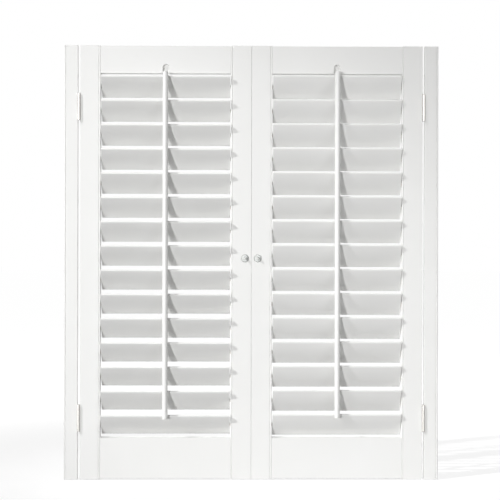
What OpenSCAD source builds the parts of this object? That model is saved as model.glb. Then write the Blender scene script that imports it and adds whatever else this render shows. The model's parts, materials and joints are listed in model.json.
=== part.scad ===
// Pair of louvred shutters: two hinged panels of tilting louvres between two side frame strips.
// Millimetres, +Z up, room side towards -Y. The origin is on the sill line, midway between the
// side frames, in the plane of the louvre pivots. All parts of a panel are drawn once for the left
// side, with x = 0 at the panel's hinge edge, and mirrored for the right side.

/* [Panels] */
// Width of one shutter panel
panel_w = 411; // [340:1:480]
// Thickness of the stiles and rails
panel_t = 19; // [18:0.5:26]
// Width of a stile, with its bead
stile_w = 49.5; // [46:0.5:64]
// Height of a top rail
top_rail_h = 66; // [56:1:110]
// Height of a bottom rail
bottom_rail_h = 98.5; // [56:0.5:150]
// How far the stiles run past the top rail
top_horn = 1; // [0.5:0.5:4]
// How far the stiles run past the bottom rail
bottom_horn = 2; // [0.5:0.5:4]
// Gap between the two panels at the front where they meet
meeting_gap = 0.4; // [0.3:0.1:0.9]
// How far the back of a meeting edge is set back, so that either panel swings past the other
meeting_bevel = 1.6; // [1.4:0.1:3]
// Width of the round bead along an edge
bead_w = 4; // [3.5:0.5:6]
// Width of the quirk, the fine groove beside a bead
quirk_w = 0.8; // [0.6:0.1:2]
// Flat that eases a sharp long edge
edge_ease = 0.6; // [0.3:0.1:1.2]
// Radius of the dowels that join rails to stiles
dowel_r = 4; // [3:0.5:5]
// Length of a dowel, half of it in the stile
dowel_l = 60; // [40:1:66]

/* [Louvres] */
// Number of louvres in a panel
louvre_count = 15; // [11:1:15]
// Width of a louvre from nose to nose
louvre_w = 62; // [57:0.5:68]
// Thickness of a louvre at its middle
louvre_t = 11; // [10:0.5:13]
// Radius of a louvre's rounded noses
nose_r = 3.2; // [2.6:0.1:3.8]
// How much two shut louvres overlap
louvre_overlap = 4; // [3:0.5:5]
// Clearance between a louvre's end and the stile
end_gap = 1.5; // [1:0.1:3]
// Tilt of the left louvres, front edge up, in degrees
left_tilt = 51.5; // [-60:0.5:80]
// Tilt of the right louvres, front edge up, in degrees
right_tilt = 59.5; // [-60:0.5:80]
// Radius of the pivot pins that carry the louvres
pivot_r = 3; // [2.5:0.1:3.3]
// Length of a pivot pin inside the stile
pivot_in_stile = 10; // [8:0.5:14]
// Length of a pivot pin inside the louvre
pivot_in_louvre = 12; // [8:0.5:16]
// Width of the groove in a rail's inner edge where the end louvre swings shut
groove_w = 11; // [9.5:0.5:12]
// Depth of that groove
groove_d = 3; // [2.5:0.1:5]
// How far the nose of an end louvre swings into that groove
nose_bite = 0.25; // [0:0.05:0.5]

/* [Tilt rods] */
// Width of a tilt rod
rod_w = 12.5; // [11:0.5:14]
// Depth of a tilt rod, front to back
rod_d = 12; // [10:0.5:16]
// How far a rod runs above its highest staple
rod_top_over = 4.5; // [4:0.5:12]
// How far a rod runs below its lowest staple
rod_bottom_over = 11.5; // [4:0.5:25]
// Distance from a louvre's nose to the crown of its staple
staple_reach = 4; // [3.8:0.1:5]
// Distance from that crown to the back of the rod
rod_gap = 3; // [2.8:0.1:4]
// Radius of the staple wire
wire_r = 0.8; // [0.6:0.05:0.9]
// Clearance between the two staples of a pair
staple_play = 0.15; // [0.1:0.05:0.3]
// Width of the notch in the top rail that takes the rod's end
notch_w = 15.5; // [15:0.5:20]
// Height of that notch
notch_h = 22; // [18:0.5:30]
// Depth of that notch from the front
notch_d = 9; // [8:0.5:11]

/* [Side frames] */
// Width of a side frame strip
strip_w = 33; // [28:0.5:45]
// Depth of a side frame strip
strip_d = 12.5; // [12:0.5:26]
// Radius of the screw holes through a strip into the window jamb
jamb_hole_r = 2.2; // [1.8:0.1:2.4]
// Radius of the counterbore for the head of a jamb screw
jamb_head_r = 4.2; // [3.5:0.1:4.6]
// Depth of that counterbore
jamb_head_d = 4; // [3:0.5:8]
// Distance of the outer jamb screws from the strip's ends
jamb_inset = 70.5; // [40:0.5:90]

/* [Hinges] */
// Gap between a panel and its side frame
hinge_gap = 5; // [4:0.5:7]
// Length of a hinge barrel
hinge_len = 63.5; // [52:0.5:76]
// Distance from the shutter's top and bottom to the middle of a hinge
hinge_inset = 147.5; // [135:0.5:200]
// Radius of a hinge barrel
barrel_r = 3; // [2.6:0.1:3.2]
// How far the barrel's axis stands in front of the panel's face
barrel_proud = 2.5; // [2.2:0.1:4]
// Radius of a hinge pin
hinge_pin_r = 1.6; // [1.2:0.1:1.9]
// Thickness of a hinge plate
plate_t = 1.5; // [1.3:0.1:1.8]
// Width of a hinge plate behind the panel's face
plate_w = 11; // [9.5:0.5:11.5]
// Radius of the hinge screws' shanks
screw_r = 1.4; // [1.1:0.1:1.6]
// Radius of the hinge screws' heads
screw_head_r = 2.9; // [2.5:0.1:3.4]
// Length of a hinge screw
screw_l = 16; // [10:1:22]
// Distance between neighbouring screws of a hinge plate
screw_pitch = 22; // [14:0.5:22]

/* [Knobs] */
// Radius of a knob
knob_r = 10; // [8:0.5:13]
// Length of a knob from the panel's face
knob_l = 20; // [17:0.5:28]
// Radius of a knob's foot
knob_foot_r = 5.5; // [4.5:0.5:7]
// Height of that foot
knob_foot_h = 2.4; // [1.5:0.1:4]
// Radius of the waist behind a knob's head
knob_waist_r = 4.4; // [3.6:0.1:5]
// Distance of the waist from the panel's face
knob_waist_l = 6; // [5:0.1:7.5]
// How far the shoulder behind the rim is drawn in from the rim's radius
knob_shoulder_in = 1.8; // [0.8:0.1:2.5]
// Distance of the shoulder from the panel's face
knob_shoulder_l = 9.2; // [8:0.1:10.5]
// Distance of the rim, a knob's widest place, from the panel's face
knob_rim_l = 12.4; // [11.5:0.1:15]
// Distance from the meeting edge to the middle of a knob
knob_inset = 15; // [13.5:0.5:24]
// Height of the knobs above the sill line
knob_z = 531; // [350:1:600]
// Radius of a knob's screw
knob_screw_r = 2; // [1.5:0.1:2.5]
// How far that screw reaches into the knob
knob_grip = 9; // [6:0.5:11]

/* [Hidden] */
$fn = 48;
SIDES = ["left", "right"];
PAINT = "#f3f3f1";
WIRE = "#d9d9d6";
STEEL = "#9d9c98";
DOWEL = "#d8b98a";
CLEAR = "#e4ebee";

fit = 0.05;                 // radial clearance of a shaft that turns in its hole
over = 1;                   // how far a cutting shape runs past the face that it opens
bead_steps = 8;             // flats in a bead's half round
nose_steps = 8;             // flats in a louvre's nose
belly_steps = 14;           // flats in a louvre's broad face
rod_steps = 12;             // flats in a tilt rod's round front

pitch = louvre_w - louvre_overlap;
end_margin = louvre_w / 2 - nose_bite;
opening_w = panel_w - 2 * stile_w;
opening_h = (louvre_count - 1) * pitch + 2 * end_margin;
rail_bottom_z = bottom_horn + bottom_rail_h;
rail_top_z = rail_bottom_z + opening_h;
height = rail_top_z + top_rail_h + top_horn;
front_y = -panel_t / 2;
mid_x = panel_w / 2;
bead_r = bead_w / 2;

louvre_l = opening_w - 2 * end_gap;
nose_c = louvre_w / 2 - nose_r;
half_t = louvre_t / 2;
belly_r = (nose_c * nose_c + half_t * half_t - nose_r * nose_r) / (2 * (half_t - nose_r));
belly_angle = asin(nose_c / (belly_r - nose_r));

crown_r = louvre_w / 2 + staple_reach;
staple_half = 4;            // half the distance between the legs of a louvre's staple
staple_grip = 5;            // length of a staple's leg inside the wood
bend_r = 2 * wire_r + staple_play;

hinge_x = -hinge_gap / 2;
hinge_y = front_y - barrel_proud;
knuckles = 5;
knuckle_l = hinge_len / knuckles;
knuckle_play = 0.3;         // end clearance between two knuckles
plate_y0 = hinge_y + barrel_r + knuckle_play;
plate_y1 = front_y + plate_w;
screw_y = (front_y + plate_y1) / 2;
hinge_heights = [hinge_inset, height - hinge_inset];
pin_head_h = 1.2;

jamb_outer = height - 2 * jamb_inset;
jamb_inner = jamb_outer / 3;
jamb_offsets = [-jamb_outer / 2, -jamb_inner / 2, jamb_inner / 2, jamb_outer / 2];
strip_mid_y = front_y + strip_d / 2;

knob_x = panel_w - knob_inset;
knob_head_r = 2 * knob_screw_r;
knob_head_h = 2.4;

function louvre_z(i) = rail_top_z - end_margin - (i - 1) * pitch;
function tilt_of(side) = side == "left" ? left_tilt : right_tilt;
function crown_y(side) = -crown_r * cos(tilt_of(side));
function crown_z(side, i) = louvre_z(i) + crown_r * sin(tilt_of(side));
function louvre_name(side, i) = str(side, "_louvre_", i < 10 ? "0" : "", i);

// Points along an arc, without its last one
function arc(c, r, from, to, steps) = [
    for (k = [0 : steps - 1])
        let (a = from + (to - from) * k / steps)
        [c[0] + r * cos(a), c[1] + r * sin(a)]
];

// Lens of a louvre lying flat: two broad arcs joined by two round noses
function louvre_section() = concat(
    arc([0, half_t - belly_r], belly_r, 90 + belly_angle, 90 - belly_angle, belly_steps),
    arc([nose_c, 0], nose_r, 90 - belly_angle, belly_angle - 90, nose_steps),
    arc([0, belly_r - half_t], belly_r, belly_angle - 90, -90 - belly_angle, belly_steps),
    arc([-nose_c, 0], nose_r, 270 - belly_angle, 90 + belly_angle, nose_steps)
);

// Board seen from above: plain or bevelled edge at x = 0, quirk and bead along the front at x = w
function beaded_section(w, depth, bevel = 0) = concat(
    [
        [0, edge_ease],
        [bevel, depth - edge_ease],
        [bevel + edge_ease, depth],
        [w - edge_ease, depth],
        [w, depth - edge_ease]
    ],
    arc([w - bead_r, bead_r], bead_r, 0, -180, bead_steps),
    [
        [w - bead_w, bead_r],
        [w - bead_w - quirk_w, bead_r],
        [w - bead_w - quirk_w, 0],
        [edge_ease, 0]
    ]
);

// Puts a shape drawn in the left panel's frame on its side of the window
module place(side) {
    mirror([side == "left" ? 0 : 1, 0, 0])
        translate([-meeting_gap / 2 - panel_w, 0, 0])
            children();
}

// Cylinder along +X
module rod_x(r, l) {
    rotate([0, 90, 0])
        cylinder(r = r, h = l);
}

// Cylinder along +Y
module rod_y(r, l) {
    rotate([-90, 0, 0])
        cylinder(r = r, h = l);
}

module at_jamb_screws() {
    for (dz = jamb_offsets)
        translate([-hinge_gap - strip_w, strip_mid_y, height / 2 + dz])
            children();
}

// Places of the hinge screws of one panel edge, on the gap's centre plane
module at_hinge_screws() {
    for (z = hinge_heights, k = [-1 : 1])
        translate([hinge_x, screw_y, z + k * screw_pitch])
            children();
}

module at_dowels() {
    for (z = [rail_bottom_z - bottom_rail_h / 2, rail_top_z + top_rail_h / 2])
        for (x = [stile_w, panel_w - stile_w], share = [-1, 1])
            let (rail_h = z < height / 2 ? bottom_rail_h : top_rail_h)
            translate([x - dowel_l / 2, 0, z + share * rail_h / 4])
                children();
}

module at_louvres() {
    for (i = [1 : louvre_count])
        translate([0, 0, louvre_z(i)])
            children();
}

module side_frame(side) {
    color(PAINT)
        place(side)
            difference() {
                translate([-hinge_gap, front_y, 0])
                    mirror([1, 0, 0])
                        linear_extrude(height)
                            polygon(beaded_section(strip_w, strip_d));
                at_jamb_screws() {
                    translate([-over, 0, 0])
                        rod_x(jamb_hole_r, strip_w + 2 * over);
                    translate([strip_w - jamb_head_d, 0, 0])
                        rod_x(jamb_head_r, jamb_head_d + over);
                }
                at_hinge_screws()
                    mirror([1, 0, 0])
                        rod_x(screw_r, hinge_gap / 2 - plate_t + screw_l);
            }
}

// One screw along +X, with the flat of its countersunk head at x = 0
module hinge_screw() {
    rotate([0, 90, 0]) {
        cylinder(r1 = screw_head_r, r2 = screw_r, h = plate_t);
        cylinder(r = screw_r, h = screw_l);
    }
}

// The two hinge plates on one edge; way is 1 for the panel and -1 for the side frame
module hinge_plates(side, way) {
    first = way > 0 ? 1 : 0;
    bore = way > 0 ? hinge_pin_r + fit : hinge_pin_r;
    plate_x = hinge_gap / 2 - plate_t;
    color(STEEL)
        place(side)
            difference() {
                for (z = hinge_heights)
                    translate([hinge_x, 0, z - hinge_len / 2]) {
                        mirror([way > 0 ? 0 : 1, 0, 0])
                            translate([plate_x, plate_y0, 0])
                                cube([plate_t, plate_y1 - plate_y0, hinge_len]);
                        for (k = [first : 2 : knuckles - 1])
                            translate([0, 0, k * knuckle_l + knuckle_play / 2])
                                hinge_knuckle(way, plate_x, knuckle_l - knuckle_play, bore);
                    }
                at_hinge_screws()
                    mirror([way > 0 ? 0 : 1, 0, 0])
                        translate([plate_x, 0, 0])
                            rotate([0, 90, 0])
                                cylinder(r1 = screw_head_r + fit, r2 = screw_r + fit, h = plate_t);
            }
}

// One knuckle and the tab that joins it to its plate
module hinge_knuckle(way, plate_x, l, bore) {
    difference() {
        union() {
            translate([0, hinge_y, 0])
                cylinder(r = barrel_r, h = l);
            mirror([way > 0 ? 0 : 1, 0, 0])
                translate([plate_x, hinge_y, 0])
                    cube([plate_t, plate_y0 - hinge_y + over, l]);
        }
        translate([0, hinge_y, -over])
            cylinder(r = bore, h = l + 2 * over);
    }
}

module hinge_pins() {
    color(STEEL)
        for (side = SIDES, z = hinge_heights)
            place(side)
                translate([hinge_x, hinge_y, z - hinge_len / 2]) {
                    translate([0, 0, -pin_head_h])
                        cylinder(r = hinge_pin_r, h = hinge_len + 2 * pin_head_h);
                    for (head_z = [-pin_head_h, hinge_len])
                        translate([0, 0, head_z])
                            cylinder(r = barrel_r - knuckle_play, h = pin_head_h);
                }
}

module frame_hinge_screws() {
    color(STEEL)
        for (side = SIDES)
            place(side)
                at_hinge_screws()
                    mirror([1, 0, 0])
                        translate([hinge_gap / 2 - plate_t, 0, 0])
                            hinge_screw();
}

module panel_hinge_screws(side) {
    color(STEEL)
        place(side)
            at_hinge_screws()
                translate([hinge_gap / 2 - plate_t, 0, 0])
                    hinge_screw();
}

// Board of a stile with its dowel and pivot holes, unbeaded edge at x = 0
module stile_board(bevel) {
    difference() {
        translate([0, front_y, 0])
            linear_extrude(height)
                polygon(beaded_section(stile_w, panel_t, bevel));
        at_dowels()
            rod_x(dowel_r, dowel_l);
        at_louvres()
            translate([stile_w - pivot_in_stile, 0, 0])
                rod_x(pivot_r, pivot_in_stile + over);
    }
}

module outer_stile(side) {
    color(PAINT)
        place(side)
            difference() {
                stile_board(0);
                at_hinge_screws()
                    rod_x(screw_r, hinge_gap / 2 - plate_t + screw_l);
            }
}

module meeting_stile(side) {
    color(PAINT)
        place(side)
            difference() {
                translate([panel_w, 0, 0])
                    mirror([1, 0, 0])
                        stile_board(meeting_bevel);
                translate([knob_x, front_y - over, knob_z])
                    rod_y(knob_screw_r, panel_t + 2 * over);
            }
}

// Rail between the stiles, with the groove for the end louvre in the edge at groove_z
module rail_board(z, h, groove_z) {
    difference() {
        translate([stile_w, front_y, z])
            cube([opening_w, panel_t, h]);
        translate([stile_w - over, -groove_w / 2, groove_z])
            cube([opening_w + 2 * over, groove_w, groove_d + over]);
        at_dowels()
            rod_x(dowel_r, dowel_l);
    }
}

module top_rail(side) {
    color(PAINT)
        place(side)
            difference() {
                rail_board(rail_top_z, top_rail_h, rail_top_z - over);
                translate([mid_x - notch_w / 2, front_y - over, rail_top_z - over])
                    cube([notch_w, notch_d + over, notch_h - notch_w / 2 + over]);
                translate([mid_x, front_y - over, rail_top_z + notch_h - notch_w / 2])
                    rod_y(notch_w / 2, notch_d + over);
            }
}

module bottom_rail(side) {
    color(PAINT)
        place(side)
            rail_board(bottom_horn, bottom_rail_h, rail_bottom_z - groove_d);
}

module dowels(side) {
    color(DOWEL)
        place(side)
            at_dowels()
                rod_x(dowel_r, dowel_l);
}

module pivot_pins(side) {
    color(WIRE)
        place(side)
            at_louvres() {
                translate([stile_w - pivot_in_stile, 0, 0])
                    rod_x(pivot_r, pivot_in_stile + end_gap + pivot_in_louvre);
                translate([panel_w - stile_w - end_gap - pivot_in_louvre, 0, 0])
                    rod_x(pivot_r, pivot_in_stile + end_gap + pivot_in_louvre);
            }
}

// Louvre lying flat with its pivot axis on the X axis, and the staple in its front nose
module louvre_blank() {
    bore_l = pivot_in_louvre + fit;
    difference() {
        translate([stile_w + end_gap, 0, 0])
            rotate([90, 0, 90])
                linear_extrude(louvre_l)
                    polygon(louvre_section());
        translate([stile_w + end_gap - over, 0, 0])
            rod_x(pivot_r + fit, bore_l + over);
        translate([panel_w - stile_w - end_gap - bore_l, 0, 0])
            rod_x(pivot_r + fit, bore_l + over);
    }
    for (x = [-staple_half, staple_half])
        translate([mid_x + x, -crown_r, 0])
            rod_y(wire_r, staple_reach + staple_grip);
    translate([mid_x - staple_half - 2 * wire_r, -crown_r, 0])
        rod_x(wire_r, 2 * staple_half + 4 * wire_r);
}

module louvre(side, i) {
    color(PAINT)
        place(side)
            translate([0, 0, louvre_z(i)])
                rotate([-tilt_of(side), 0, 0])
                    louvre_blank();
}

// Places on the crowns of one panel's louvre staples
module at_crowns(side) {
    for (i = [1 : louvre_count])
        translate([mid_x, crown_y(side), crown_z(side, i)])
            children();
}

module staple_legs() {
    for (z = [-bend_r, bend_r])
        translate([0, -rod_gap - staple_grip, z])
            rod_y(wire_r, rod_gap + staple_grip);
}

module tilt_rod(side) {
    bottom = crown_z(side, louvre_count) - rod_bottom_over;
    top = crown_z(side, 1) + rod_top_over;
    round_y = rod_w / 2 - rod_d;
    color(PAINT)
        place(side)
            difference() {
                translate([mid_x, crown_y(side) - rod_gap, bottom])
                    linear_extrude(top - bottom)
                        polygon(concat(
                            [[rod_w / 2, 0]],
                            arc([0, round_y], rod_w / 2, 0, -180, rod_steps),
                            [[-rod_w / 2, round_y], [-rod_w / 2, 0]]
                        ));
                at_crowns(side)
                    staple_legs();
            }
}

module rod_staples(side) {
    color(WIRE)
        place(side)
            at_crowns(side) {
                staple_legs();
                rotate([0, 90, 0])
                    rotate_extrude(angle = 180)
                        translate([bend_r, 0])
                            circle(r = wire_r);
            }
}

// Turned knob: foot, waist and domed head
module knob(side) {
    dome_steps = 10;
    shoulder_r = knob_r - knob_shoulder_in;
    dome = [
        for (k = [0 : dome_steps])
            let (a = 90 * k / dome_steps)
            [knob_r * cos(a), knob_rim_l + (knob_l - knob_rim_l) * sin(a)]
    ];
    color(CLEAR)
        place(side)
            translate([knob_x, front_y, knob_z])
                rotate([90, 0, 0])
                    difference() {
                        rotate_extrude()
                            polygon(concat(
                                [[0, 0], [knob_foot_r, 0], [knob_foot_r, knob_foot_h]],
                                [[knob_waist_r, knob_waist_l], [shoulder_r, knob_shoulder_l]],
                                dome
                            ));
                        translate([0, 0, -over])
                            cylinder(r = knob_screw_r, h = knob_grip + over);
                    }
}

module knob_screw(side) {
    color(STEEL)
        place(side)
            translate([knob_x, front_y - knob_grip, knob_z]) {
                rod_y(knob_screw_r, knob_grip + panel_t);
                translate([0, knob_grip + panel_t, 0])
                    rod_y(knob_head_r, knob_head_h);
            }
}

hinge_pins();
frame_hinge_screws();
for (side = SIDES) {
    side_frame(side);
    hinge_plates(side, -1);
    hinge_plates(side, 1);
    panel_hinge_screws(side);
    outer_stile(side);
    meeting_stile(side);
    top_rail(side);
    bottom_rail(side);
    dowels(side);
    pivot_pins(side);
    tilt_rod(side);
    rod_staples(side);
    knob(side);
    knob_screw(side);
    for (i = [1 : louvre_count])
        louvre(side, i);
}
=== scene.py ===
"""Pair of louvred shutters: painted boards and louvres, tilt rods, hinges and clear knobs."""
import json
import math

import bmesh
import bpy
from mathutils import Matrix, Vector


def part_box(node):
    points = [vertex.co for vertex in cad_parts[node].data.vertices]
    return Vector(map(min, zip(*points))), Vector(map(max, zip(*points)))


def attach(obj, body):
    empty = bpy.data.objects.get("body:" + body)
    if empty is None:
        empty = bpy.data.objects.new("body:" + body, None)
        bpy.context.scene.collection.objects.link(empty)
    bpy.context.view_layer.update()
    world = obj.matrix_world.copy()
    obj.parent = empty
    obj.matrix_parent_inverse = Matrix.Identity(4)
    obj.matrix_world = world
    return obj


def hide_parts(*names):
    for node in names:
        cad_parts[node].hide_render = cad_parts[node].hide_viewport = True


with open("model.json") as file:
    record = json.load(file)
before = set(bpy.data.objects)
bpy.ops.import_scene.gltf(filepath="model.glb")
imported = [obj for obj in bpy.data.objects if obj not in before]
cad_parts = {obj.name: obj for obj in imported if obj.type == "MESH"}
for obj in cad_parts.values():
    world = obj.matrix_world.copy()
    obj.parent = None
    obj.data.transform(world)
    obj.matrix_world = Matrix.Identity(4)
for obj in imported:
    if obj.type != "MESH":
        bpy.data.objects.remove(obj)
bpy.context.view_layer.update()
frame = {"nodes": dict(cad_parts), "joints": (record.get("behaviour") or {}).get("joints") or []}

MM = 0.001
SIDES = ("left", "right")
LOUVRES = 15
PIVOTS = {joint["name"]: Vector(joint["pos_m"]) for joint in frame["joints"]}

# Boards, in millimetres
BEAD_W = 4.0            # round bead along an edge
QUIRK_W = 0.8           # fine groove beside the bead
QUIRK_D = 1.5
QUIRK_EASE = 0.5        # radius where the face turns into the quirk
BEAD_FOOT = 0.05        # and where the quirk meets the bead
BEAD_SHOULDER = 1.2     # radius of the bead on its quirk side
SOFT_EDGE = 0.7         # radius that sanding and paint leave on a sharp edge
FINE_EDGE = 0.3
CRISP_EDGE = 0.1
END_EASE = 0.45         # radius at the ends of upright boards, and at the rails' ends
RAIL_END_EASE = 0.25
MEETING_BEVEL = 1.6     # how far the back of a meeting edge is set back
SHADOW_GAP = 0.12       # how far its front is set back, which leaves a fine dark line between the panels
SHADOW_GAP_D = 1.8      # depth of that line
MEETING_LAND = 0.15     # how far the edge behind it stands out, nearly up to the other panel's
MEETING_LAND_D = 3.5    # depth of that land
GROOVE_W = 11.0         # groove in a rail's inner edge for the end louvre
GROOVE_D = 3.0
GROOVE_EASE = 0.5       # radii at its rim and in its floor
GROOVE_FLOOR = 0.4
NOTCH_W = 15.5          # arched notch in the top rail for the rod's end
NOTCH_H = 22.0
NOTCH_D = 9.0
NOTCH_PAST = 2.0        # how far its cutter starts below the rail
NOTCH_STEPS = 24
NOTCH_RIM = [(-0.5, 1.1), (0.0, 0.6), (0.25, 0.18), (0.7, 0.0)]     # depth, and how far the rim opens there
JAMB_HOLE_R = 2.2       # screw holes through a side frame
JAMB_HEAD_R = 4.2
JAMB_HEAD_D = 4.0
JAMB_RIM_D = 0.4        # depth of the eased rims, and how far the drill flares past the two faces
JAMB_FLARE = 0.5
JAMB_HEAD_FLARE = 0.6
JAMB_SPACING = (-450.0, -150.0, 150.0, 450.0)

# Louvres and tilt rods
LOUVRE_W = 62.0
LOUVRE_T = 11.0
NOSE_R = 3.2
BROAD_STEPS = 26        # steps along a louvre's broad faces, its noses and its rounded ends
NOSE_STEPS = 14
LOUVRE_END_STEPS = 4
LOUVRE_END_EASE = 0.9
CROWN_R = 35.0          # from a louvre's pivot to the crown of its staple
WIRE_R = 0.8
STAPLE_HALF = 4.0       # half the distance between a louvre staple's legs
STAPLE_GRIP = 5.0       # length of a leg inside the wood
STAPLE_BEND = 1.4       # radius of a louvre staple's corners
STAPLE_STEPS = 6
HOOK_R = 1.75           # bend of the rod's staple around the louvre's
HOOK_GRIP = 4.0         # length of its legs inside the rod
HOOK_STEPS = 14
ROD_GAP = 3.0           # from the crown to the back of the rod
ROD_END_EASE = 1.3
ROD_BACK_EASE = 0.8
ROD_FLAT = 0.01         # sliver of flat between the two halves of the rod's round face
PIN_R = 3.0
PIN_IN_STILE = 10.0
PIN_IN_LOUVRE = 12.0
PIN_GAP = 1.5           # between a louvre's end and its stile
PIN_CHAMFER = 0.4
PIN_STEPS = 24
COLLAR_R = 4.8
COLLAR_T = 1.0
COLLAR_EASE = 0.2
COLLAR_CLEAR = 0.02     # between a collar and its stile

# Hinges and knobs
HINGE_LEN = 63.5
HINGE_INSET = 147.5
KNUCKLES = 5
KNUCKLE_PLAY = 0.3
BARREL_R = 3.0
LEAF_IN = 1.0           # inner and outer face of a leaf, from the barrel's axis
LEAF_OUT = 2.5
LEAF_START = 3.3        # where a leaf starts behind the barrel's axis, and where it ends
LEAF_END = 13.5
LEAF_CORNER = 2.6
LEAF_EDGE = 0.4         # radius of a leaf's corners by the barrel
LEAF_EASE = 0.2
TAB_LAP = 1.0           # how far a knuckle's tab laps over its leaf
KNUCKLE_EASE = 0.3
KNUCKLE_STEPS = 36
HINGE_PIN_R = 1.6
PIN_HEAD_R = 2.7        # domed tips of a hinge pin
PIN_HEAD_H = 1.2
PIN_HEAD_FLAT = 0.2
PIN_HEAD_STEPS = 7
SCREW_BACK = 8.0        # from the barrel's axis back to the screws
SCREW_PITCH = 22.0
SCREW_HEAD_R = 2.9
SCREW_PROUD = 0.18
SCREW_STEPS = 32
SHANK_R = 1.4
SHANK_L = 15.0
HEAD_TAPER = 1.5        # depth of a flat head's cone
CROSS_L = 3.3           # cross recess in a screw's head
CROSS_W = 0.85
CROSS_D = 0.7
CROSS_PAST = 1.0        # how far its cutter stands out of the head
CROSS_TAPER = (0.6, 1.15)           # its width at the floor and at the cutter's top, as shares
KNOB_R = 10.0
KNOB_L = 20.0
KNOB_SCREW_R = 2.0
KNOB_GRIP = 9.0
KNOB_STEPS = 64
KNOB_PROFILE = [                    # radius, distance from the stile, rounding
    (0.05, 0, 0.01), (5.5, 0, 0.35), (5.5, 2.4, 0.5), (4.4, 6.0, 3.0), (8.2, 9.2, 1.6),
    (KNOB_R, 12.4, 1.2), (9.2, 16.6, 3.2), (6.2, 19.2, 3.0), (0.05, KNOB_L, 0.01),
]
PAN_R = 4.0             # head of the screw behind a knob
PAN_H = 2.4
PAN_CROSS = 1.2         # its recess, as a share of a hinge screw's
SHARP_ANGLE = 32        # degrees; edges that turn more than this stay sharp in the shading


# Outlines and shapes

def softened(corners):
    """Closed outline in metres from (u, v, radius) corners in millimetres, each corner rounded."""
    points = []
    for i, (u, v, radius) in enumerate(corners):
        here = Vector((u, v))
        before = (Vector(corners[i - 1][:2]) - here).normalized()
        after = (Vector(corners[(i + 1) % len(corners)][:2]) - here).normalized()
        half = before.angle(after) / 2
        centre = here + (before + after).normalized() * (radius / math.sin(half))
        start = here + before * (radius / math.tan(half)) - centre
        end = here + after * (radius / math.tan(half)) - centre
        first = math.atan2(start.y, start.x)
        turn = (math.atan2(end.y, end.x) - first + math.pi) % (2 * math.pi) - math.pi
        steps = 3 if radius < 1 else 12     # small edges need few
        for k in range(steps + 1):
            a = first + turn * k / steps
            points.append((centre + Vector((math.cos(a), math.sin(a))) * radius) * MM)
    return [p for i, p in enumerate(points) if (p - points[i - 1]).length > 1e-7]


def drawn_in(outline, amount):
    """The outline moved inwards by amount, point for point."""
    count = len(outline)
    area = sum(p.cross(outline[(i + 1) % count]) for i, p in enumerate(outline))
    inward = 1 if area > 0 else -1
    moved = []
    for i, p in enumerate(outline):
        before = (p - outline[i - 1]).normalized()
        after = (outline[(i + 1) % count] - p).normalized()
        normals = [Vector((-d.y, d.x)) * inward for d in (before, after)]
        mitre = (normals[0] + normals[1]) / (1 + normals[0].dot(normals[1]))
        moved.append(p + mitre * amount)
    return moved


def bar(outline, place, start, end, ease):
    """Rings of a straight bar with eased ends; place turns (u, v, along) into a point."""
    angles = (0, math.pi / 4, math.pi / 2)
    rounding = [(ease * (1 - math.cos(a)), ease * (1 - math.sin(a))) for a in angles]
    stations = [(start + along, inset) for along, inset in rounding]
    stations += [(end - along, inset) for along, inset in reversed(rounding)]
    return [[place(p.x, p.y, along) for p in drawn_in(outline, inset)] for along, inset in stations]


def turned(profile, place, steps=40):
    """Rings of a turned shape from (radius, along) pairs in millimetres."""
    rings = []
    for radius, along in profile:
        angles = [2 * math.pi * k / steps for k in range(steps)]
        rings.append([
            place(radius * MM * math.cos(a), radius * MM * math.sin(a), along * MM) for a in angles
        ])
    return rings


def wire(path, across, radius, steps=10):
    """Rings of a round wire along a path that lies in the plane square to across."""
    rings = []
    for i, p in enumerate(path):
        run = (path[min(i + 1, len(path) - 1)] - path[max(i - 1, 0)]).normalized()
        side = run.cross(across).normalized()
        angles = [2 * math.pi * k / steps for k in range(steps)]
        rings.append([p + (side * math.cos(a) + across * math.sin(a)) * radius for a in angles])
    return rings


def skin(shape, rings, finish=0):
    """Adds the closed skin over the rings to the shape."""
    rows = [[shape.verts.new(p) for p in ring] for ring in rings]
    faces = [shape.faces.new(rows[0][::-1]), shape.faces.new(rows[-1])]
    for low, high in zip(rows, rows[1:]):
        for k in range(len(low)):
            j = (k + 1) % len(low)
            faces.append(shape.faces.new((low[k], low[j], high[j], high[k])))
    for face in faces:
        face.material_index = finish
    return shape


def carved(shape, cutter):
    """The shape with the cutter's solid taken out of it."""
    temps = []
    for solid in (shape, cutter):
        bmesh.ops.recalc_face_normals(solid, faces=solid.faces)
        mesh = bpy.data.meshes.new("carving")
        solid.to_mesh(mesh)
        solid.free()
        temps.append(bpy.data.objects.new("carving", mesh))
        bpy.context.scene.collection.objects.link(temps[-1])
    cut = temps[0].modifiers.new("cut", "BOOLEAN")
    cut.object = temps[1]
    cut.operation = "DIFFERENCE"
    cut.solver = "EXACT"
    bpy.context.view_layer.update()
    result = bmesh.new()
    result.from_object(temps[0], bpy.context.evaluated_depsgraph_get())
    for temp in temps:
        mesh = temp.data
        bpy.data.objects.remove(temp)
        bpy.data.meshes.remove(mesh)
    return result


def piece(name, shape, finishes, body, slot, *nodes):
    """Makes the shape an object that rides on its body in place of its nodes."""
    bmesh.ops.recalc_face_normals(shape, faces=shape.faces)
    mesh = bpy.data.meshes.new(name)
    shape.to_mesh(mesh)
    shape.free()
    for finish in finishes:
        mesh.materials.append(finish)
    mesh.polygons.foreach_set("use_smooth", [True] * len(mesh.polygons))
    mesh.set_sharp_from_angle(angle=math.radians(SHARP_ANGLE))
    made = bpy.data.objects.new(name, mesh)
    bpy.context.scene.collection.objects.link(made)
    flats = made.modifiers.new("even_flats", "WEIGHTED_NORMAL")
    flats.mode = "FACE_AREA"
    flats.weight = 100
    flats.keep_sharp = True
    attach(made, body)
    if nodes:
        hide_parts(*nodes)
    return made


# Finishes

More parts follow.
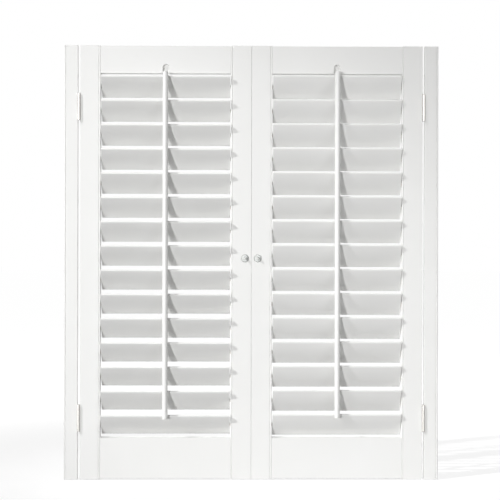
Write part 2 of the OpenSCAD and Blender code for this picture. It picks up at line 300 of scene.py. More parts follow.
def linear(code):
    """An sRGB hex colour as linear RGBA."""
    parts = [int(code[i:i + 2], 16) / 255 for i in (1, 3, 5)]
    return [p / 12.92 if p <= 0.04045 else ((p + 0.055) / 1.055) ** 2.4 for p in parts] + [1.0]


def node(tree, kind, values=None, links=None, **settings):
    """Adds a shader node with its settings, socket values and incoming links."""
    made = tree.nodes.new(kind)
    for name, value in settings.items():
        setattr(made, name, value)
    for socket, value in (values or {}).items():
        made.inputs[socket].default_value = value
    for socket, output in (links or {}).items():
        tree.links.new(output, made.inputs[socket])
    return made


def new_finish(name):
    """A material with an empty node tree."""
    made = bpy.data.materials.new(name)
    made.use_nodes = True
    made.node_tree.nodes.clear()
    return made, made.node_tree


def satin_paint(name, along):
    """Satin enamel brushed on primed wood, white with a trace of warmth: broad soft highlights, brush
    marks that run along the board, and grain that just shows through. along is 0 for X and 2 for Z."""
    made, tree = new_finish(name)
    brush_w, brush_l = 3.0, 90.0      # real marks are under 1 mm wide; drawn wider so that they show
    grain_w, grain_l = 1.6, 140.0
    patch = 160.0                     # where one coat is a little thicker than the next
    place = node(tree, "ShaderNodeTexCoord").outputs["Object"]

    def stretched(width, length):
        scale = [1 / (width * MM)] * 3
        scale[along] = 1 / (length * MM)
        return node(tree, "ShaderNodeMapping", {"Scale": scale}, {"Vector": place}).outputs[0]

    marks = node(tree, "ShaderNodeTexNoise", {"Scale": 1.0, "Detail": 3.0, "Roughness": 0.55},
                 {"Vector": stretched(brush_w, brush_l)}).outputs["Fac"]
    grain = node(tree, "ShaderNodeTexNoise", {"Scale": 1.0, "Detail": 2.0, "Roughness": 0.5},
                 {"Vector": stretched(grain_w, grain_l)}).outputs["Fac"]
    coats = node(tree, "ShaderNodeTexNoise", {"Scale": 1.0, "Detail": 2.0, "Roughness": 0.5},
                 {"Vector": stretched(patch, patch)}).outputs["Fac"]
    colour = node(tree, "ShaderNodeMix", {"A": linear("#f1f1ef"), "B": linear("#f6f6f5")},
                  {"Factor": coats}, data_type="RGBA")
    gloss = node(tree, "ShaderNodeMapRange",
                 {"From Min": 0.3, "From Max": 0.7, "To Min": 0.40, "To Max": 0.50}, {"Value": marks})
    relief = node(tree, "ShaderNodeBump", {"Strength": 0.12, "Distance": 0.15 * MM}, {"Height": marks})
    relief = node(tree, "ShaderNodeBump", {"Strength": 0.10, "Distance": 0.10 * MM},
                  {"Height": grain, "Normal": relief.outputs[0]})
    shader = node(tree, "ShaderNodeBsdfPrincipled", {"IOR": 1.5, "Specular IOR Level": 0.4},
                  {"Base Color": colour.outputs["Result"], "Roughness": gloss.outputs[0],
                   "Normal": relief.outputs[0]})
    node(tree, "ShaderNodeOutputMaterial", links={"Surface": shader.outputs[0]})
    return made


def satin_nickel():
    """Steel hinge stock plated in satin nickel: pale grey metal, with fine brushing that draws its
    highlights out sideways."""
    made, tree = new_finish("satin_nickel_steel")
    place = node(tree, "ShaderNodeTexCoord").outputs["Object"]
    scratch_w, scratch_l = 0.35, 12.0       # real scratches are under 0.1 mm wide; drawn coarser
    across, along = 1 / (scratch_w * MM), 1 / (scratch_l * MM)
    lines = node(tree, "ShaderNodeMapping", {"Scale": [across, across, along]}, {"Vector": place})
    brushing = node(tree, "ShaderNodeTexNoise", {"Scale": 1.0, "Detail": 3.0},
                    {"Vector": lines.outputs[0]}).outputs["Fac"]
    colour = node(tree, "ShaderNodeMix", {"A": linear("#bebcb8"), "B": linear("#d6d4d0")},
                  {"Factor": brushing}, data_type="RGBA")
    gloss = node(tree, "ShaderNodeMapRange", {"To Min": 0.26, "To Max": 0.42}, {"Value": brushing})
    relief = node(tree, "ShaderNodeBump", {"Strength": 0.15, "Distance": 0.02 * MM}, {"Height": brushing})
    shader = node(tree, "ShaderNodeBsdfPrincipled", {"Metallic": 1.0},
                  {"Base Color": colour.outputs["Result"], "Roughness": gloss.outputs[0],
                   "Normal": relief.outputs[0]})
    node(tree, "ShaderNodeOutputMaterial", links={"Surface": shader.outputs[0]})
    return made


def zinc_wire():
    """Zinc-coated steel wire: pale grey metal, a little blotched where the coating ran."""
    made, tree = new_finish("zinc_coated_wire")
    place = node(tree, "ShaderNodeTexCoord").outputs["Object"]
    run = 2.5                               # width of a run in the coating
    blotch = node(tree, "ShaderNodeTexNoise", {"Scale": 1 / (run * MM), "Detail": 2.0},
                  {"Vector": place}).outputs["Fac"]
    colour = node(tree, "ShaderNodeMix", {"A": linear("#b4b5b5"), "B": linear("#d6d6d4")},
                  {"Factor": blotch}, data_type="RGBA")
    gloss = node(tree, "ShaderNodeMapRange", {"To Min": 0.30, "To Max": 0.50}, {"Value": blotch})
    shader = node(tree, "ShaderNodeBsdfPrincipled", {"Metallic": 1.0},
                  {"Base Color": colour.outputs["Result"], "Roughness": gloss.outputs[0]})
    node(tree, "ShaderNodeOutputMaterial", links={"Surface": shader.outputs[0]})
    return made


def moulded_nylon():
    """Natural nylon, injection moulded: milky, slightly waxy, with a fine spark-eroded grain."""
    made, tree = new_finish("moulded_nylon")
    place = node(tree, "ShaderNodeTexCoord").outputs["Object"]
    spark = 0.4                             # real grit is about 0.05 mm; drawn coarser
    grit = node(tree, "ShaderNodeTexNoise", {"Scale": 1 / (spark * MM), "Detail": 2.0},
                {"Vector": place}).outputs["Fac"]
    colour = node(tree, "ShaderNodeMix", {"A": linear("#e6e4dc"), "B": linear("#efeee8")},
                  {"Factor": grit}, data_type="RGBA")
    relief = node(tree, "ShaderNodeBump", {"Strength": 0.2, "Distance": 0.03 * MM}, {"Height": grit})
    shader = node(tree, "ShaderNodeBsdfPrincipled",
                  {"IOR": 1.53, "Roughness": 0.45, "Subsurface Weight": 0.15, "Subsurface Scale": 1.0 * MM},
                  {"Base Color": colour.outputs["Result"], "Normal": relief.outputs[0]})
    node(tree, "ShaderNodeOutputMaterial", links={"Surface": shader.outputs[0]})
    return made


def clear_acrylic():
    """Polished cast acrylic: clear, bends what is behind it, with a trace of polishing haze. Its grey base
    colour is painted shade that darkens what shows through the knob, in place of the knob's own shadow."""
    made, tree = new_finish("clear_acrylic")
    place = node(tree, "ShaderNodeTexCoord").outputs["Object"]
    patch = 3.0                             # size of a patch of haze
    haze = node(tree, "ShaderNodeTexNoise", {"Scale": 1 / (patch * MM), "Detail": 3.0},
                {"Vector": place}).outputs["Fac"]
    gloss = node(tree, "ShaderNodeMapRange", {"To Min": 0.0, "To Max": 0.06}, {"Value": haze})
    shader = node(tree, "ShaderNodeBsdfPrincipled",
                  # grey base colour: painted shade that stands in for the knob's own shadow seen through it
                  {"Base Color": linear("#dce1e1"), "IOR": 1.49, "Transmission Weight": 1.0},
                  {"Roughness": gloss.outputs[0]})
    node(tree, "ShaderNodeOutputMaterial", links={"Surface": shader.outputs[0]})
    return made


def birch_dowel():
    """Turned birch: pale tan with fine straight grain along the dowel."""
    made, tree = new_finish("turned_birch")
    place = node(tree, "ShaderNodeTexCoord").outputs["Object"]
    grain_w, grain_l = 0.8, 40
    along, across = 1 / (grain_l * MM), 1 / (grain_w * MM)
    lines = node(tree, "ShaderNodeMapping", {"Scale": [along, across, across]}, {"Vector": place})
    grain = node(tree, "ShaderNodeTexNoise", {"Scale": 1.0, "Detail": 4.0},
                 {"Vector": lines.outputs[0]}).outputs["Fac"]
    colour = node(tree, "ShaderNodeMix", {"A": linear("#c9a877"), "B": linear("#e2c79c")},
                  {"Factor": grain}, data_type="RGBA")
    relief = node(tree, "ShaderNodeBump", {"Strength": 0.2, "Distance": 0.05 * MM}, {"Height": grain})
    shader = node(tree, "ShaderNodeBsdfPrincipled", {"IOR": 1.45, "Roughness": 0.6},
                  {"Base Color": colour.outputs["Result"], "Normal": relief.outputs[0]})
    node(tree, "ShaderNodeOutputMaterial", links={"Surface": shader.outputs[0]})
    return made


PAINT_UPRIGHT = satin_paint("satin_paint_upright", 2)
PAINT_LEVEL = satin_paint("satin_paint_level", 0)
NICKEL = satin_nickel()
ZINC = zinc_wire()
NYLON = moulded_nylon()
ACRYLIC = clear_acrylic()
BIRCH = birch_dowel()


# Boards

def beaded_outline(width, depth, meeting):
    """A board seen from above: plain or meeting edge at u = 0, quirk and bead at the front at u = width."""
    edge = [(0, depth, SOFT_EDGE), (0, 0, SOFT_EDGE)]
    if meeting:
        land_end = SHADOW_GAP_D + MEETING_LAND_D
        edge = [
            (MEETING_BEVEL, depth, SOFT_EDGE),
            (-MEETING_LAND, land_end, FINE_EDGE), (-MEETING_LAND, SHADOW_GAP_D, CRISP_EDGE),
            (SHADOW_GAP, SHADOW_GAP_D, CRISP_EDGE), (SHADOW_GAP, 0, FINE_EDGE),
        ]
    quirk, bead = width - BEAD_W - QUIRK_W, width - BEAD_W
    return softened(edge + [
        (quirk, 0, QUIRK_EASE), (quirk, QUIRK_D, FINE_EDGE),
        (bead, QUIRK_D, BEAD_FOOT), (bead, 0, BEAD_SHOULDER),
        (width, 0, BEAD_W / 2), (width, depth, SOFT_EDGE),
    ])


def beaded_board(low, high, bead_at_high, meeting=False):
    """Upright beaded board that fills the box from low to high."""
    size = (high - low) / MM
    start, way = (low.x, 1) if bead_at_high else (high.x, -1)
    outline = beaded_outline(size.x, size.y, meeting)
    shape = bmesh.new()
    return skin(shape, bar(outline, lambda u, v, z: Vector((start + way * u, low.y + v, z)),
                           low.z, high.z, END_EASE * MM))


def side_frame(side):
    """Side frame strip, with the counterbored holes for the screws into the window jamb."""
    low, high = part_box(f"{side}_side_frame")
    left = side == "left"
    shape = beaded_board(low, high, not left)
    width = (high.x - low.x) / MM
    outer, way = (low.x, 1) if left else (high.x, -1)
    drill = bmesh.new()
    profile = [
        (JAMB_HOLE_R + JAMB_FLARE, -JAMB_FLARE), (JAMB_HOLE_R, JAMB_RIM_D),
        (JAMB_HOLE_R, width - JAMB_HEAD_D), (JAMB_HEAD_R, width - JAMB_HEAD_D),
        (JAMB_HEAD_R, width - JAMB_RIM_D), (JAMB_HEAD_R + JAMB_HEAD_FLARE, width + JAMB_HEAD_FLARE),
    ]
    middle = (low + high) / 2
    for spot in JAMB_SPACING:
        skin(drill, turned(profile, lambda a, b, x: Vector(
            (outer + way * x, middle.y + a, middle.z + spot * MM + b))))
    shape = carved(shape, drill)
    piece(f"side_frame_{side}", shape, [PAINT_UPRIGHT], "frame", "painted_wood", f"{side}_side_frame")


def stiles(side):
    """Outer stile by the hinges and meeting stile by the other panel."""
    left = side == "left"
    low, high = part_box(f"{side}_outer_stile")
    piece(f"stile_{side}_outer", beaded_board(low, high, left), [PAINT_UPRIGHT],
          f"{side}_panel", "painted_wood", f"{side}_outer_stile")
    low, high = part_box(f"{side}_meeting_stile")
    piece(f"stile_{side}_meeting", beaded_board(low, high, not left, True), [PAINT_UPRIGHT],
          f"{side}_panel", "painted_wood", f"{side}_meeting_stile")


def rail_shape(low, high, groove_up):
    """Rail with the groove for the end louvre in its lower edge, or in its upper one if groove_up."""
    front, back = low.y / MM, high.y / MM
    bottom, top = low.z / MM, high.z / MM
    half = GROOVE_W / 2
    edge, floor = (top, top - GROOVE_D) if groove_up else (bottom, bottom + GROOVE_D)
    groove = [
        (-half, edge, GROOVE_EASE), (-half, floor, GROOVE_FLOOR),
        (half, floor, GROOVE_FLOOR), (half, edge, GROOVE_EASE),
    ]
    if groove_up:
        corners = [(front, bottom, SOFT_EDGE), (back, bottom, SOFT_EDGE), (back, top, SOFT_EDGE)]
        corners += groove[::-1] + [(front, top, SOFT_EDGE)]
    else:
        corners = [(front, bottom, SOFT_EDGE)] + groove
        corners += [(back, bottom, SOFT_EDGE), (back, top, SOFT_EDGE), (front, top, SOFT_EDGE)]
    shape = bmesh.new()
    return skin(shape, bar(softened(corners), lambda u, v, x: Vector((x, u, v)),
                           low.x, high.x, RAIL_END_EASE * MM))


def rails(side):
    """Top rail with its arched notch, and bottom rail."""
    low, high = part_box(f"{side}_top_rail")
    middle, base, front = (low.x + high.x) / 2, low.z, low.y
    arch = NOTCH_W / 2
    spring = NOTCH_H - arch
    outline = [Vector((arch, -NOTCH_PAST)), Vector((arch, spring))]
    outline += [
        Vector((arch * math.cos(a), spring + arch * math.sin(a)))
        for a in (math.pi * k / NOTCH_STEPS for k in range(1, NOTCH_STEPS))
    ]
    outline += [Vector((-arch, spring)), Vector((-arch, -NOTCH_PAST))]
    outline = [p * MM for p in outline]
    cutter = skin(bmesh.new(), [
        [Vector((middle + p.x, front + y * MM, base + p.y)) for p in drawn_in(outline, -opening * MM)]
        for y, opening in NOTCH_RIM + [(NOTCH_D, 0.0)]
    ])
    shape = carved(rail_shape(low, high, False), cutter)
    piece(f"rail_{side}_top", shape, [PAINT_LEVEL], f"{side}_panel", "painted_wood", f"{side}_top_rail")
    low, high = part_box(f"{side}_bottom_rail")
    piece(f"rail_{side}_bottom", rail_shape(low, high, True), [PAINT_LEVEL],
          f"{side}_panel", "painted_wood", f"{side}_bottom_rail")


# Louvres and tilt rods

def lens(inset):
    """Section of a louvre lying flat, drawn in by inset millimetres: broad arcs joined by round noses."""
    nose, half = LOUVRE_W / 2 - NOSE_R, LOUVRE_T / 2
    broad = (nose ** 2 + half ** 2 - NOSE_R ** 2) / (2 * (half - NOSE_R))
    a, right = math.asin(nose / (broad - NOSE_R)), math.pi / 2
    arcs = [
        (0, half - broad, broad, right + a, right - a, BROAD_STEPS),
        (nose, 0, NOSE_R, right - a, a - right, NOSE_STEPS),
        (0, broad - half, broad, a - right, -right - a, BROAD_STEPS),
        (-nose, 0, NOSE_R, 3 * right - a, right + a, NOSE_STEPS),
    ]
    points = []
    for u, v, radius, first, last, steps in arcs:
        for k in range(steps):
            t = first + (last - first) * k / steps
            r = radius - inset
            points.append(Vector((u + r * math.cos(t), v + r * math.sin(t))) * MM)
    return points


def louvre(side, number, tilt):
    """One louvre with the staple in its front nose."""
    name = f"{side}_louvre_{number:02d}"
    pivot = PIVOTS[f"{side}_louvre_tilt_{number:02d}"]
    low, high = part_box(name)
    turn = Matrix.Rotation(-tilt, 3, "X")

    def place(depth, up, x):
        return Vector((x, pivot.y, pivot.z)) + turn @ Vector((0, depth, up))

    ease = LOUVRE_END_EASE
    rounding = [(ease * (1 - math.cos(a)), ease * (1 - math.sin(a))) for a in
                (math.pi / 2 * k / LOUVRE_END_STEPS for k in range(LOUVRE_END_STEPS + 1))]
    stations = [(low.x + along * MM, inset) for along, inset in rounding]
    stations += [(high.x - along * MM, inset) for along, inset in reversed(rounding)]
    shape = skin(bmesh.new(), [[place(p.x, p.y, x) for p in lens(inset)] for x, inset in stations])
    root = -(LOUVRE_W / 2 - STAPLE_GRIP)
    flat = [(-STAPLE_HALF, root)]
    for centre, first in ((-1, math.pi), (1, 1.5 * math.pi)):
        for k in range(STAPLE_STEPS + 1):
            a = first + math.pi / 2 * k / STAPLE_STEPS
            flat.append((centre * (STAPLE_HALF - STAPLE_BEND) + STAPLE_BEND * math.cos(a),
                         -CROWN_R + STAPLE_BEND + STAPLE_BEND * math.sin(a)))
    flat.append((STAPLE_HALF, root))
    path = [place(depth * MM, 0, pivot.x + x * MM) for x, depth in flat]
    skin(shape, wire(path, turn @ Vector((0, 0, 1)), WIRE_R * MM), 1)
    piece(f"louvre_{side}_{number:02d}", shape, [PAINT_LEVEL, ZINC], name, "painted_wood", name)


def tilt_rod(side):
    """Front rod with its round face, and the staples in its back that hook the louvres' staples."""
    low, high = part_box(f"{side}_tilt_rod")
    box = [low.x / MM, low.y / MM, high.x / MM, high.y / MM]
    face = (box[2] - box[0]) / 2 - ROD_FLAT
    outline = softened([
        (box[0], box[1], face), (box[2], box[1], face),
        (box[2], box[3], ROD_BACK_EASE), (box[0], box[3], ROD_BACK_EASE),
    ])
    shape = skin(bmesh.new(), bar(outline, lambda u, v, z: Vector((u, v, z)),
                                  low.z, high.z, ROD_END_EASE * MM))
    piece(f"tilt_rod_{side}", shape, [PAINT_UPRIGHT], f"{side}_rod", "painted_wood", f"{side}_tilt_rod")

    driver, crown = PIVOTS[f"{side}_louvre_tilt_08"], PIVOTS[f"{side}_rod_pivot"]
    hooks = bmesh.new()
    for number in range(1, LOUVRES + 1):
        centre = crown + PIVOTS[f"{side}_louvre_tilt_{number:02d}"] - driver
        leg = -(ROD_GAP + HOOK_GRIP)
        angles = [math.pi * k / HOOK_STEPS for k in range(HOOK_STEPS + 1)]
        flat = [(leg, HOOK_R)]
        flat += [(HOOK_R * math.sin(a), HOOK_R * math.cos(a)) for a in angles]
        flat += [(leg, -HOOK_R)]
        path = [centre + Vector((0, y, z)) * MM for y, z in flat]
        skin(hooks, wire(path, Vector((1, 0, 0)), WIRE_R * MM))
    piece(f"rod_staples_{side}", hooks, [ZINC], f"{side}_rod", "staple_wire", f"{side}_rod_staples")


def pivot_pins(side):
    """Nylon pins that carry the louvres, each with a collar in the gap by the stile."""
    shape = bmesh.new()
    tip = PIN_GAP + PIN_IN_LOUVRE
    profile = [
        (PIN_R - PIN_CHAMFER, -PIN_IN_STILE), (PIN_R, -PIN_IN_STILE + PIN_CHAMFER), (PIN_R, COLLAR_CLEAR),
        (COLLAR_R - COLLAR_EASE, COLLAR_CLEAR), (COLLAR_R, COLLAR_EASE), (COLLAR_R, COLLAR_T - COLLAR_EASE),
        (COLLAR_R - COLLAR_EASE, COLLAR_T), (PIN_R, COLLAR_T),
        (PIN_R, tip - PIN_CHAMFER), (PIN_R - PIN_CHAMFER, tip),
    ]
    for number in range(1, LOUVRES + 1):
        pivot = PIVOTS[f"{side}_louvre_tilt_{number:02d}"]
        low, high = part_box(f"{side}_louvre_{number:02d}")
        for end, way in ((low.x - PIN_GAP * MM, 1), (high.x + PIN_GAP * MM, -1)):
            skin(shape, turned(profile, lambda a, b, x: Vector(
                (end + way * x, pivot.y + a, pivot.z + b)), PIN_STEPS))
    piece(f"pivot_pins_{side}", shape, [NYLON], f"{side}_panel", "nylon", f"{side}_pivot_pins")


# Hinges, screws and knobs

def cross_cutter(place):
    """Cross-shaped cutter for a screw's head; place turns (across, up, out) in millimetres into a point."""
    long, slim = CROSS_L / 2, CROSS_W / 2
    outline = [
        (slim, long), (-slim, long), (-slim, slim), (-long, slim), (-long, -slim), (-slim, -slim),
        (-slim, -long), (slim, -long), (slim, -slim), (long, -slim), (long, slim), (slim, slim),
    ]
    rings = [[place(u * share, v * share, out) for u, v in outline]
             for out, share in zip((-CROSS_D, CROSS_PAST), CROSS_TAPER)]
    return skin(bmesh.new(), rings)


def screw_body(profile, place):
    """Turned screw from (radius, out) pairs, without its recess."""
    angles = [2 * math.pi * k / SCREW_STEPS for k in range(SCREW_STEPS)]
    return skin(bmesh.new(), [
        [place(r * math.cos(a), r * math.sin(a), out) for a in angles] for r, out in profile
    ])


def screws(profile, places):
    """Screws with a cross recess, one at each place."""
    shape = bmesh.new()
    for place in places:
        head = carved(screw_body(profile, place), cross_cutter(place))
        mesh = bpy.data.meshes.new("head")
        head.to_mesh(mesh)
        head.free()
        shape.from_mesh(mesh)
        bpy.data.meshes.remove(mesh)
    return shape


def hinge_heights():
    """Heights of the middles of the hinges."""
    low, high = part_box("left_side_frame")
    return (low.z + HINGE_INSET * MM, high.z - HINGE_INSET * MM)


def knuckle_outline():
    """A knuckle seen along its pin, with the tab to its leaf; u is towards the leaf, v to the back."""
    first = math.atan2(math.sqrt(BARREL_R ** 2 - LEAF_OUT ** 2), LEAF_OUT)
    last = math.atan2(math.sqrt(BARREL_R ** 2 - LEAF_IN ** 2), LEAF_IN) - 2 * math.pi
    points = [Vector((LEAF_IN, LEAF_START + TAB_LAP)), Vector((LEAF_OUT, LEAF_START + TAB_LAP))]
    for k in range(KNUCKLE_STEPS + 1):
        a = first + (last - first) * k / KNUCKLE_STEPS
        points.append(Vector((BARREL_R * math.cos(a), BARREL_R * math.sin(a))))
    return [p * MM for p in points]


def hinge_leaves(side, way, body, node_name):
    """The two leaves on one edge of a hinge gap, way 1 on the panel and -1 on the side frame."""
    axis = PIVOTS[f"{side}_panel_swing"]
    towards = way * (1 if side == "left" else -1)
    shape = bmesh.new()
    for z in hinge_heights():
        base = z - HINGE_LEN / 2 * MM
        plate = softened([
            (LEAF_START, 0, LEAF_EDGE), (LEAF_END, 0, LEAF_CORNER),
            (LEAF_END, HINGE_LEN, LEAF_CORNER), (LEAF_START, HINGE_LEN, LEAF_EDGE),
        ])
        skin(shape, bar(plate, lambda u, v, x: Vector((axis.x + towards * x, axis.y + u, base + v)),
                        LEAF_IN * MM, LEAF_OUT * MM, LEAF_EASE * MM))
        pitch = HINGE_LEN / KNUCKLES
        for k in range(1 if way > 0 else 0, KNUCKLES, 2):
            start, end = k * pitch + KNUCKLE_PLAY / 2, (k + 1) * pitch - KNUCKLE_PLAY / 2
            skin(shape, bar(knuckle_outline(),
                            lambda u, v, h: Vector((axis.x + towards * u, axis.y + v, base + h)),
                            start * MM, end * MM, KNUCKLE_EASE * MM))
    who = "panel" if way > 0 else "frame"
    piece(f"hinge_leaves_{side}_{who}", shape, [NICKEL], body, "hinge_steel", node_name)


def hinge_screw_places(side, way):
    """Place functions of the six screws on one edge, out being away from the leaf's face."""
    axis = PIVOTS[f"{side}_panel_swing"]
    towards = way * (1 if side == "left" else -1)

    def placer(z):
        return lambda u, v, out: Vector(
            (axis.x + towards * (LEAF_IN - out) * MM, axis.y + (SCREW_BACK + u) * MM, z + v * MM))

    return [placer(z + k * SCREW_PITCH * MM) for z in hinge_heights() for k in (-1, 0, 1)]


FLAT_HEAD = [                       # radius, and height over the leaf's face
    (SHANK_R, -SHANK_L), (SHANK_R, -HEAD_TAPER), (SCREW_HEAD_R, 0.0), (SCREW_HEAD_R - 0.1, 0.08),
    (SCREW_HEAD_R * 0.75, SCREW_PROUD * 0.8), (0.6, SCREW_PROUD),
]


def hinge_pins():
    """Pins with domed tips at both ends of each barrel."""
    shape = bmesh.new()
    angles = [math.pi / 2 * k / PIN_HEAD_STEPS for k in range(PIN_HEAD_STEPS)]
    dome = [(PIN_HEAD_R * math.cos(a), PIN_HEAD_H * math.sin(a)) for a in angles]
    dome.append((PIN_HEAD_FLAT, PIN_HEAD_H))
    end = HINGE_LEN / 2
    profile = [(r, -end - h) for r, h in reversed(dome)]
    profile += [(HINGE_PIN_R, -end), (HINGE_PIN_R, end)]
    profile += [(r, end + h) for r, h in dome]
    for side in SIDES:
        axis = PIVOTS[f"{side}_panel_swing"]
        for z in hinge_heights():
            skin(shape, turned(profile, lambda a, b, h: Vector((axis.x + a, axis.y + b, z + h)), 28))
    piece("hinge_pins_domed", shape, [NICKEL], "frame", "hinge_steel", "hinge_pins")


def knob(side):
    """Clear turned knob and the pan-head screw that holds it through the stile."""
    low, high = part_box(f"{side}_knob")
    middle = (low + high) / 2
    face = high.y
    profile = [(p.x / MM, p.y / MM) for p in softened(KNOB_PROFILE)]
    shape = skin(bmesh.new(), turned(profile, lambda a, b, h: Vector(
        (middle.x + a, face - h, middle.z + b)), KNOB_STEPS))
    clear = piece(f"knob_{side}", shape, [ACRYLIC], f"{side}_panel", "clear_acrylic", f"{side}_knob")
    # Lamps light the stile behind and around it, as they do through real acrylic; the knob casts no shadow,
    # and painted shade in the acrylic's grey base colour stands in for it
    clear.visible_shadow = False
    clear.visible_diffuse = False

    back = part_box(f"{side}_meeting_stile")[1].y
    reach = (back - face) / MM + KNOB_GRIP

    def place(u, v, out):
        return Vector((middle.x + u * MM, back + out * MM, middle.z + v * MM))

    def recess(u, v, out):
        return place(u * PAN_CROSS, v * PAN_CROSS, out + PAN_H)

    pan_head = [                    # radius, and distance behind the stile
        (0.4, -reach), (KNOB_SCREW_R - 0.3, -reach + 0.6), (KNOB_SCREW_R, -reach + 1.0), (KNOB_SCREW_R, 0.0),
        (PAN_R, 0.0), (PAN_R, PAN_H * 0.45), (PAN_R * 0.9, PAN_H * 0.75),
        (PAN_R * 0.65, PAN_H * 0.94), (0.5, PAN_H),
    ]
    piece(f"knob_screw_{side}", carved(screw_body(pan_head, place), cross_cutter(recess)), [NICKEL],
          f"{side}_panel", "hinge_steel", f"{side}_knob_screw")


for side in SIDES:
    driver, crown = PIVOTS[f"{side}_louvre_tilt_08"], PIVOTS[f"{side}_rod_pivot"]
    tilt = math.atan2(crown.z - driver.z, driver.y - crown.y)
    side_frame(side)
    stiles(side)
    rails(side)
    for number in range(1, LOUVRES + 1):
        louvre(side, number, tilt)
    tilt_rod(side)
    pivot_pins(side)
    hinge_leaves(side, -1, "frame", f"{side}_frame_hinge_plates")
    hinge_leaves(side, 1, f"{side}_panel", f"{side}_panel_hinge_plates")
    piece(f"hinge_screws_{side}_panel", screws(FLAT_HEAD, hinge_screw_places(side, 1)), [NICKEL],
          f"{side}_panel", "hinge_steel", f"{side}_panel_hinge_screws")
    knob(side)
    dowels = frame["nodes"][f"{side}_dowels"]
    for slot in dowels.material_slots:
        slot.material = BIRCH
frame_screws = hinge_screw_places("left", -1) + hinge_screw_places("right", -1)
piece("hinge_screws_frame", screws(FLAT_HEAD, frame_screws), [NICKEL],
      "frame", "hinge_steel", "frame_hinge_screws")
hinge_pins()


# Studio: pale floor, soft lamps and white surroundings

FLOOR_NEAR = 0.76         # glow of the floor under the object, where its shadow has to show
FLOOR_FAR = 0.98          # and out of the lamps' reach, where it meets the white surroundings
FLOOR_FADE = (0.7, 2.0)   # where that change starts and ends, in metres from the middle
FLOOR_HALF = 30.0         # half the floor's width, and how far it lies below the sill line, in metres
FLOOR_DROP = 0.001
AMBIENT = 0.04            # even light on the object from all sides
SPOT_BLEND = 0.85         # how much of the key's cone fades out
LAMPS = {
    # name: place, aim and width in metres, watts, half angle of the cone in degrees (0 for a panel lamp)
    "key": ((-14.1, -8.08, 12.0), (-0.03, 0.0, 0.40), 0.50, 11250.0, 2.5),
    "low_left": ((-3.57, -7.16, 0.60), (0.0, 0.0, 0.5), 0.60, 297.0, 0.0),
    "right_fill": ((2.60, -2.70, 0.50), (0.2, 0.0, 0.4), 2.0, 33.0, 0.0),
    "top_fill": ((0.97, -2.08, 3.83), (0.0, 0.0, 0.55), 1.0, 8.0, 0.0),
    "back_left": ((-1.82, 2.16, 2.05), (0.0, 0.0, 0.55), 1.6, 27.0, 0.0),
    "back_right": ((1.88, 2.24, 1.85), (0.0, 0.0, 0.55), 1.6, 25.0, 0.0),
}
CAMERA_PLACE = (-0.0438, -2.9507, 0.5509)
CAMERA_LENS = 88.24       # millimetres, on a sensor of the width below
SENSOR_W = 36.0
CAMERA_YAW = -0.79        # degrees
CAMERA_ROLL = 0.113


def seen_directly(tree):
    """1 for what the eye sees straight, in reflections or through clear acrylic, and 0 for other rays."""
    rays = node(tree, "ShaderNodeLightPath").outputs
    seen = node(tree, "ShaderNodeMath", links={0: rays["Is Camera Ray"], 1: rays["Is Glossy Ray"]},
                operation="MAXIMUM")
    return node(tree, "ShaderNodeMath", links={0: seen.outputs[0], 1: rays["Is Transmission Ray"]},
                operation="MAXIMUM").outputs[0]


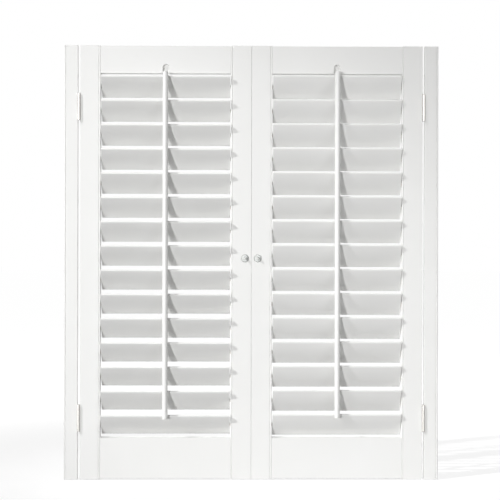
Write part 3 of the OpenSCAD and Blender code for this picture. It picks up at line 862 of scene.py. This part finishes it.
def pale_floor():
    """Matt floor that looks white: it takes the object's shadow, bounces little light up at it, and
    otherwise meets the white surroundings."""
    made, tree = new_finish("matt_white_floor")
    place = node(tree, "ShaderNodeTexCoord").outputs["Object"]
    cloud = node(tree, "ShaderNodeTexNoise", {"Scale": 2.0, "Detail": 2.0}, {"Vector": place}).outputs["Fac"]
    colour = node(tree, "ShaderNodeMix", {"A": linear("#a0a0a0"), "B": linear("#a4a4a4")},
                  {"Factor": cloud}, data_type="RGBA")
    away = node(tree, "ShaderNodeVectorMath", links={0: place}, operation="LENGTH")
    fade = {"From Min": FLOOR_FADE[0], "From Max": FLOOR_FADE[1], "To Min": FLOOR_NEAR, "To Max": FLOOR_FAR}
    lift = node(tree, "ShaderNodeMapRange", fade, {"Value": away.outputs["Value"]},
                interpolation_type="SMOOTHSTEP")
    lift = node(tree, "ShaderNodeMath", links={0: lift.outputs[0], 1: seen_directly(tree)},
                operation="MULTIPLY")
    matt = node(tree, "ShaderNodeBsdfDiffuse", links={"Color": colour.outputs["Result"]})
    glow = node(tree, "ShaderNodeEmission", links={"Strength": lift.outputs[0]})
    both = node(tree, "ShaderNodeAddShader", links={0: matt.outputs[0], 1: glow.outputs[0]})
    node(tree, "ShaderNodeOutputMaterial", links={"Surface": both.outputs[0]})
    shape = bmesh.new()
    bmesh.ops.create_grid(shape, x_segments=8, y_segments=8, size=FLOOR_HALF)
    mesh = bpy.data.meshes.new("floor")
    shape.to_mesh(mesh)
    shape.free()
    mesh.materials.append(made)
    floor = bpy.data.objects.new("floor", mesh)
    floor.location.z = -FLOOR_DROP
    bpy.context.scene.collection.objects.link(floor)


def lamps():
    """The lamps of the table; the key is a spot that fades out towards the top right corner."""
    for name, (spot, aim, width, watts, cone) in LAMPS.items():
        light = bpy.data.lights.new(name, "SPOT" if cone else "AREA")
        if cone:
            light.spot_size, light.spot_blend = 2 * math.radians(cone), SPOT_BLEND
            light.shadow_soft_size = width / 2
        else:
            light.shape, light.size = "SQUARE", width
        light.energy = watts
        made = bpy.data.objects.new(name, light)
        made.location = spot
        made.rotation_euler = (Vector(aim) - Vector(spot)).to_track_quat("-Z", "Y").to_euler()
        made.visible_camera = False
        bpy.context.scene.collection.objects.link(made)


def surroundings():
    """White to the eye and in reflections; a weaker even light on the object."""
    world = bpy.data.worlds.new("white_studio")
    world.use_nodes = True
    tree = world.node_tree
    tree.nodes.clear()
    strength = node(tree, "ShaderNodeMapRange", {"To Min": AMBIENT, "To Max": 1.0},
                    {"Value": seen_directly(tree)})
    sky = node(tree, "ShaderNodeBackground", {"Color": linear("#ffffff")}, {"Strength": strength.outputs[0]})
    node(tree, "ShaderNodeOutputWorld", links={"Surface": sky.outputs[0]})
    bpy.context.scene.world = world


def camera():
    """Level camera about 3 m in front, a little left of the middle and turned a shade to the right."""
    data = bpy.data.cameras.new("camera")
    data.sensor_width = SENSOR_W
    data.lens = CAMERA_LENS
    made = bpy.data.objects.new("camera", data)
    turn = Matrix.Rotation(math.radians(CAMERA_YAW), 4, "Z") @ Matrix.Rotation(math.pi / 2, 4, "X")
    roll = Matrix.Rotation(math.radians(CAMERA_ROLL), 4, "Z")
    made.matrix_world = Matrix.Translation(CAMERA_PLACE) @ turn @ roll
    bpy.context.scene.collection.objects.link(made)
    bpy.context.scene.camera = made


pale_floor()
lamps()
surroundings()
camera()
bpy.context.scene.view_settings.view_transform = "Standard"

bpy.context.view_layer.update()
